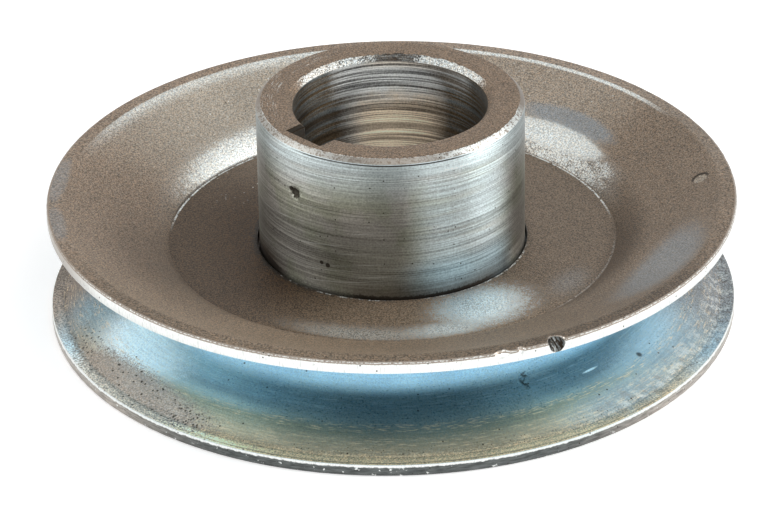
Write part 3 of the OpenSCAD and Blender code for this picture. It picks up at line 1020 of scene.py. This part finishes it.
def roughen_rim(bm, sizes, wear):
    """Makes the sheared edge of a rim a little uneven."""
    edge_r, fine, coarse = RIM_R - 1.2 * sizes.edge_break, 0.9 * MM, 3 * MM
    for v in bm.verts:
        r = hypot(v.co.x, v.co.y)
        if r > edge_r:
            push = noise.noise(v.co / fine) + 0.5 * noise.noise(v.co / coarse)
            v.co.xy *= 1 + min(0, push) * wear.ragged / r


def cut_nick(bm, direction, width, depth):
    """Takes a scooped nick out of the upper corner of a rim."""
    middle = on_circle(direction, RIM_R, RIM_TOP)
    refine(bm, middle, width, 2)
    inward = (on_circle(direction, -1, 0) - AXIS) / sqrt(2)
    across = on_circle(direction + tau / 4, 1, 0)
    rough, grain = 0.25, 0.5 * MM
    for v in bm.verts:
        step = v.co - middle
        along = step.dot(across) / (width / 2)
        if abs(along) < 1 and step.length < 2 * width:
            wanted = depth / sqrt(2) * sqrt(1 - along * along) * (1 + rough * noise.noise(v.co / grain))
            short = wanted - step.dot(inward)
            if short > 0:
                v.co += inward * short


def press_dent(bm, sizes, wear):
    """Presses a small round dent into the cone of the upper flange, deepest at its far side."""
    middle = on_circle(wear.dent_angle, wear.dent_r, dish_height(sizes, wear.dent_r))
    refine(bm, middle, wear.mark_reach, 2)
    for v in bm.verts:
        step = (v.co - middle) / wear.dent_w
        on_dish = step.z * wear.dent_w > -0.75 * sizes.sheet
        if step.length < 3 and on_dish:
            away = hypot(step.x, step.y)
            v.co.z -= wear.dent_depth * exp(-(away**4)) * (0.6 + 0.5 * step.y)


def flange_region(dish_up):
    """Picks the finish of a flange's face: the dish, the groove or the sheared edges."""
    rim, hole = RIM_R - 1.6 * MM, HUB_R + 0.5 * MM

    def region(face):
        middle = face.calc_center_median()
        r = hypot(middle.x, middle.y)
        if abs(face.normal.z) < FLAT_FACE and (r > rim or r < hole):
            return EDGE
        return DISH if (face.normal.z > 0) == dish_up else GROOVE

    return region


def keep_piece(name, bm, materials, region, node):
    """Turns a finished bmesh into a piece that stands for a node."""
    mesh = bpy.data.meshes.new(name)
    for material in materials:
        mesh.materials.append(material)
    for face in bm.faces:
        face.smooth = True
        face.material_index = region(face)
    bm.to_mesh(mesh)
    bm.free()
    mesh.set_sharp_from_angle(angle=SHARP_ANGLE)
    piece = bpy.data.objects.new(name, mesh)
    bpy.context.scene.collection.objects.link(piece)
    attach(piece, "root")
    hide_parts(node)


def turn_hub(sizes):
    """The hub's tube, spun from its outline with a chamfer on each edge and tool marks in the bore."""
    low, high = HUB_LOW.z, HUB_HIGH.z
    outline = [
        (BORE_R, low + sizes.bore_chamfer),
        (BORE_R + sizes.bore_chamfer, low),
        (HUB_R - sizes.hub_chamfer, low),
        (HUB_R, low + sizes.hub_chamfer),
        (HUB_R, high - sizes.hub_chamfer),
        (HUB_R - sizes.hub_chamfer, high),
        (BORE_R + sizes.bore_chamfer, high),
        (BORE_R, high - sizes.bore_chamfer),
    ]
    bm = bmesh.new()
    points = [bm.verts.new((r, 0, z)) for r, z in outline]
    for i, point in enumerate(points):
        bm.edges.new((points[i - 1], point))
    bevel(bm, points, sizes.corner_r, 2, "VERTICES")
    for edge in bm.edges[:]:
        bore_side = all(v.co.x < BORE_R + MERGE_DISTANCE for v in edge.verts)
        divide(bm, edge, sizes.ring_step if bore_side else sizes.side_step)
    revolve(bm, sizes.turns)
    return bm


def mark_bore(bm, sizes):
    """Cuts shallow, uneven rings into the wall of the bore."""
    low, high = HUB_LOW.z + sizes.bore_chamfer, HUB_HIGH.z - sizes.bore_chamfer
    slow, fine = (25 * MM, 25 * MM, 1.1 * MM), (12 * MM, 12 * MM, 0.45 * MM)
    for v in bm.verts:
        r = hypot(v.co.x, v.co.y)
        if r < BORE_R + 0.01 * MM and low < v.co.z < high:
            waves = [noise.noise(Vector([a / b for a, b in zip(v.co, size)])) for size in (slow, fine)]
            cut = max(0, waves[0] + 0.5 * waves[1])
            v.co.xy *= 1 + sizes.ring_depth * cut / r


def broach_keyway(bm, sizes):
    """Cuts the keyway along the whole bore with three planes and closes its walls."""
    out = on_circle(sizes.key_angle, 1, 0)
    side = on_circle(sizes.key_angle + tau / 4, 1, 0)
    half, floor = sizes.key_w / 2, HUB_R - sizes.key_wall
    skin = HUB_R - 0.3 * MM
    slack = 0.01 * MM
    planes = [(side * half, side), (side * -half, side), (out * floor, out)]
    for point, normal in planes:
        near = [
            f for f in bm.faces
            if f.calc_center_median().dot(out) > 0 and abs(f.calc_center_median().dot(side)) < sizes.key_w
            and hypot(*f.calc_center_median().xy) < skin
        ]
        parts = {v for f in near for v in f.verts} | {e for f in near for e in f.edges} | set(near)
        bmesh.ops.bisect_plane(bm, geom=list(parts), dist=MERGE_DISTANCE, plane_co=point, plane_no=normal)
    inside = [
        f for f in bm.faces
        if abs(f.calc_center_median().dot(side)) < half and 0 < f.calc_center_median().dot(out) < floor
    ]
    bmesh.ops.delete(bm, geom=inside, context="FACES")
    rim = [e for e in bm.edges if e.is_boundary]
    uprights = []
    for hand in (1, -1):
        ends = {
            v for e in rim for v in e.verts
            if abs(v.co.dot(side) - hand * half) < slack and abs(v.co.dot(out) - floor) < slack
        }
        if len(ends) != 2:
            raise RuntimeError(f"the keyway has {len(ends)} floor corners on one side, and not 2")
        uprights.append(bm.edges.new(list(ends)))
    for hand, upright in zip((1, -1), uprights):
        wall = [e for e in rim if all(abs(v.co.dot(side) - hand * half) < slack for v in e.verts)]
        bmesh.ops.contextual_create(bm, geom=wall + [upright])
    ground = [e for e in rim if all(abs(v.co.dot(out) - floor) < slack for v in e.verts)]
    bmesh.ops.contextual_create(bm, geom=ground + uprights)
    bmesh.ops.recalc_face_normals(bm, faces=bm.faces)


def dig_pit(bm, wear):
    """Digs a small ragged pit into the side of the hub."""
    middle = on_circle(wear.pit_angle, HUB_R, wear.pit_z)
    refine(bm, middle, wear.mark_reach, 4)
    grain = 0.4 * MM
    for v in bm.verts:
        step = (v.co - middle).length / wear.pit_w
        if step < 3:
            ragged = 1 + 0.5 * noise.noise(v.co / grain)
            v.co.xy *= 1 - wear.pit_depth / HUB_R * exp(-((step * ragged) ** 4))


def hub_region(face):
    """Picks the finish of a hub's face: the turned side, the ends with the bore's chamfers, or the bore."""
    middle = face.calc_center_median()
    r = hypot(middle.x, middle.y)
    flat = abs(face.normal.z)
    outside = r > HUB_R - 0.65 * MM
    if flat > FLAT_FACE or (flat > 0.5 and not outside):
        return END
    return SIDE if outside else BORE


def lay_weld(sizes):
    """Crowned fillet between the hub and the lower web, with the ripples of a hand-laid bead."""
    leg = WELD_HIGH.z - WELD_LOW.z
    top, bottom = Vector((HUB_R + leg, 0, WELD_HIGH.z)), Vector((HUB_R, 0, WELD_LOW.z))
    chord = top - bottom
    crown_r = (chord.length_squared / 4 + sizes.weld_crown**2) / (2 * sizes.weld_crown)
    outward = Vector((1, 0, -1)).normalized()
    centre = (top + bottom) / 2 + outward * (sizes.weld_crown - crown_r)
    sweep = (top - centre).angle(bottom - centre)
    bm = bmesh.new()
    first = bm.verts.new(top)
    last = bmesh.ops.spin(
        bm, geom=[first], cent=centre, axis=Vector((0, 1, 0)), dvec=ORIGIN, angle=sweep, steps=10,
    )["geom_last"]
    end = next(g for g in last if isinstance(g, bmesh.types.BMVert))
    if (end.co - bottom).length > 0.1 * MM:
        raise RuntimeError("the weld's crown doesn't end on the hub")
    root = bm.verts.new((HUB_R, 0, WELD_HIGH.z))
    bm.edges.new((root, first))
    bm.edges.new((end, root))
    revolve(bm, sizes.turns)
    lean, wobble = 2.2, 4 * MM
    for v in bm.verts:
        r = hypot(v.co.x, v.co.y)
        bulge = (r - HUB_R) * (WELD_HIGH.z - v.co.z) / (leg * leg / 4)
        turn = atan2(v.co.y, v.co.x) * sizes.weld_ripples + lean * (r - HUB_R) / leg
        turn += noise.noise(v.co / wobble)
        ripple = abs(sin(turn / 2)) - 0.6
        v.co += Vector((v.co.x / r, v.co.y / r, -1)) / sqrt(2) * (sizes.weld_ripple * ripple * min(1, bulge))
    return bm


class PULLEY_OT_flanges(bpy.types.Operator):
    """Press both flanges and mark them with their wear"""

    bl_idname = "pulley.flanges"
    bl_label = "Flanges"

    def execute(self, context):
        scene = context.scene
        sizes, wear, colours = scene.pulley_sheet, scene.pulley_wear, scene.pulley_colours
        dish = dish_finish(colours, sizes, wear)

        upper = press_flange(sizes, HUB_R + sizes.loose_gap)
        roughen_rim(upper, sizes, wear)
        cut_nick(upper, wear.nick_angle, wear.nick_w, wear.nick_depth)
        cut_nick(upper, wear.chip_angle, wear.chip_w, wear.chip_depth)
        cut_nick(upper, wear.facet_angle, wear.facet_w, wear.facet_depth)
        press_dent(upper, sizes, wear)
        upper_finishes = [dish, groove_finish(colours, False), edge_finish(colours, wear, False)]
        keep_piece(
            "upper_flange_sheet", upper, upper_finishes, flange_region(True), "upper_flange"
        )

        lower = press_flange(sizes, HUB_R + sizes.snug_gap)
        roughen_rim(lower, sizes, wear)
        over = Matrix.Rotation(tau / 2, 3, "X")
        bmesh.ops.rotate(lower, verts=lower.verts, cent=(0, 0, JOINT_Z), matrix=over)
        lower_finishes = [dish, groove_finish(colours, True), edge_finish(colours, wear, True)]
        keep_piece(
            "lower_flange_sheet", lower, lower_finishes, flange_region(False), "lower_flange"
        )
        return {"FINISHED"}


class PULLEY_OT_hub(bpy.types.Operator):
    """Turn the hub, bore it, broach its keyway and mark it"""

    bl_idname = "pulley.hub"
    bl_label = "Hub"

    def execute(self, context):
        scene = context.scene
        colours = scene.pulley_colours
        hub = turn_hub(scene.pulley_hub)
        mark_bore(hub, scene.pulley_hub)
        broach_keyway(hub, scene.pulley_hub)
        dig_pit(hub, scene.pulley_wear)
        finishes = [
            turned_finish(colours, scene.pulley_wear),
            hub_face_finish(colours, scene.pulley_hub),
            bore_finish(colours),
        ]
        keep_piece("turned_hub", hub, finishes, hub_region, "hub")
        return {"FINISHED"}


class PULLEY_OT_weld(bpy.types.Operator):
    """Lay the weld between the hub and the lower web"""

    bl_idname = "pulley.weld"
    bl_label = "Weld"

    def execute(self, context):
        scene = context.scene
        bead = lay_weld(scene.pulley_hub)
        finishes = [weld_finish(scene.pulley_colours)]
        keep_piece("hub_weld_bead", bead, finishes, lambda face: 0, "hub_weld")
        return {"FINISHED"}


def aim_camera(stage):
    """Camera at the height and roll of the photograph's view."""
    camera = bpy.data.cameras.new("camera")
    camera.sensor_width = 36
    camera.lens = stage.focal_px / IMAGE_WIDTH * camera.sensor_width
    look = Vector((0, cos(stage.elevation), -sin(stage.elevation)))
    right = Vector((1, 0, 0))
    up = right.cross(look)
    rolled_right = cos(stage.roll) * right + sin(stage.roll) * up
    rolled_up = cos(stage.roll) * up - sin(stage.roll) * right
    eye = bpy.data.objects.new("camera", camera)
    turned = Matrix((rolled_right, rolled_up, -look)).transposed().to_4x4()
    turned.translation = Vector((stage.aim_x, 0, stage.aim_z)) - look * stage.distance
    eye.matrix_world = turned
    camera.clip_start, camera.clip_end = 0.01, 100
    bpy.context.scene.collection.objects.link(eye)
    bpy.context.scene.camera = eye


def hang_lamp(lamp):
    """Soft oblong lamp that faces the pulley from a direction round it, in degrees."""
    light = bpy.data.lights.new(lamp.name, "AREA")
    light.shape = "RECTANGLE"
    light.size, light.size_y = lamp.width, lamp.height
    light.energy = lamp.radiance * lamp.width * lamp.height * tau / 2
    rise = radians(lamp.elevation)
    out = on_circle(radians(lamp.direction), cos(rise), sin(rise))
    holder = bpy.data.objects.new(lamp.name, light)
    holder.location = out * lamp.distance
    holder.rotation_euler = out.to_track_quat("Z", "Y").to_euler()
    holder.visible_camera = False
    bpy.context.scene.collection.objects.link(holder)


def light_room(stage):
    """White room for what is seen and mirrored, with a softer light on dull surfaces."""
    world = bpy.data.worlds.new("room")
    world.cycles.sampling_method = "NONE"
    paint = fresh_paint(world)
    strength = seen_directly(paint) * (1 - stage.sky) + stage.sky
    light = paint.add("ShaderNodeBackground", None, {"Color": (1, 1, 1), "Strength": strength})
    paint.add("ShaderNodeOutputWorld", None, {"Surface": light})
    bpy.context.scene.world = world


def lay_floor(stage, colours):
    """Pale floor that keeps the pulley's shadow."""
    bm = bmesh.new()
    bmesh.ops.create_grid(bm, x_segments=1, y_segments=1, size=FLOOR_HALF)
    mesh = bpy.data.meshes.new("floor")
    bm.to_mesh(mesh)
    bm.free()
    material = bpy.data.materials.new("pale_floor")
    paint = fresh_paint(material)
    strength = seen_directly(paint) * stage.floor_glow
    glow = paint.add("ShaderNodeEmission", None, {"Color": (1, 1, 1), "Strength": strength})
    matt = paint.add("ShaderNodeBsdfDiffuse", None, {"Color": colours.floor})
    both = paint.add("ShaderNodeAddShader", None, {0: glow, 1: matt})
    paint.add("ShaderNodeOutputMaterial", None, {"Surface": both})
    mesh.materials.append(material)
    floor = bpy.data.objects.new("floor", mesh)
    bpy.context.scene.collection.objects.link(floor)


class PULLEY_OT_stage(bpy.types.Operator):
    """Set up the camera, the room, the lamps and the floor"""

    bl_idname = "pulley.stage"
    bl_label = "Stage"

    def execute(self, context):
        scene = context.scene
        stage = scene.pulley_stage
        scene.view_settings.view_transform = "Standard"
        aim_camera(stage)
        light_room(stage)
        for lamp in LAMPS:
            hang_lamp(lamp)
        lay_floor(stage, scene.pulley_colours)
        return {"FINISHED"}


class PULLEY_PT_panel(bpy.types.Panel):
    """Lists the pieces of the pulley and its stage"""

    bl_idname = "PULLEY_PT_panel"
    bl_label = "Belt pulley"
    bl_space_type = "VIEW_3D"
    bl_region_type = "UI"
    bl_category = "Pulley"

    def draw(self, context):
        for operator in OPERATORS:
            self.layout.operator(operator.bl_idname)
        for group in GROUPS:
            box = self.layout.box()
            box.label(text=GROUPS[group].bl_rna.description)
            values = getattr(context.scene, group)
            for name in GROUPS[group].__annotations__:
                box.prop(values, name)


GROUPS = {
    "pulley_sheet": PulleySheetSizes,
    "pulley_hub": PulleyHubSizes,
    "pulley_wear": PulleyWear,
    "pulley_colours": PulleyColours,
    "pulley_stage": PulleyStage,
}
OPERATORS = (PULLEY_OT_stage, PULLEY_OT_flanges, PULLEY_OT_hub, PULLEY_OT_weld)


def register():
    for cls in (*GROUPS.values(), *OPERATORS, PULLEY_PT_panel):
        bpy.utils.register_class(cls)
    for name, group in GROUPS.items():
        setattr(bpy.types.Scene, name, PointerProperty(type=group))


def unregister():
    for name in GROUPS:
        delattr(bpy.types.Scene, name)
    for cls in (PULLEY_PT_panel, *reversed(OPERATORS), *reversed(GROUPS.values())):
        bpy.utils.unregister_class(cls)


def main():
    register()
    bpy.ops.pulley.stage()
    bpy.ops.pulley.flanges()
    bpy.ops.pulley.hub()
    bpy.ops.pulley.weld()


if __name__ == "__main__":
    main()
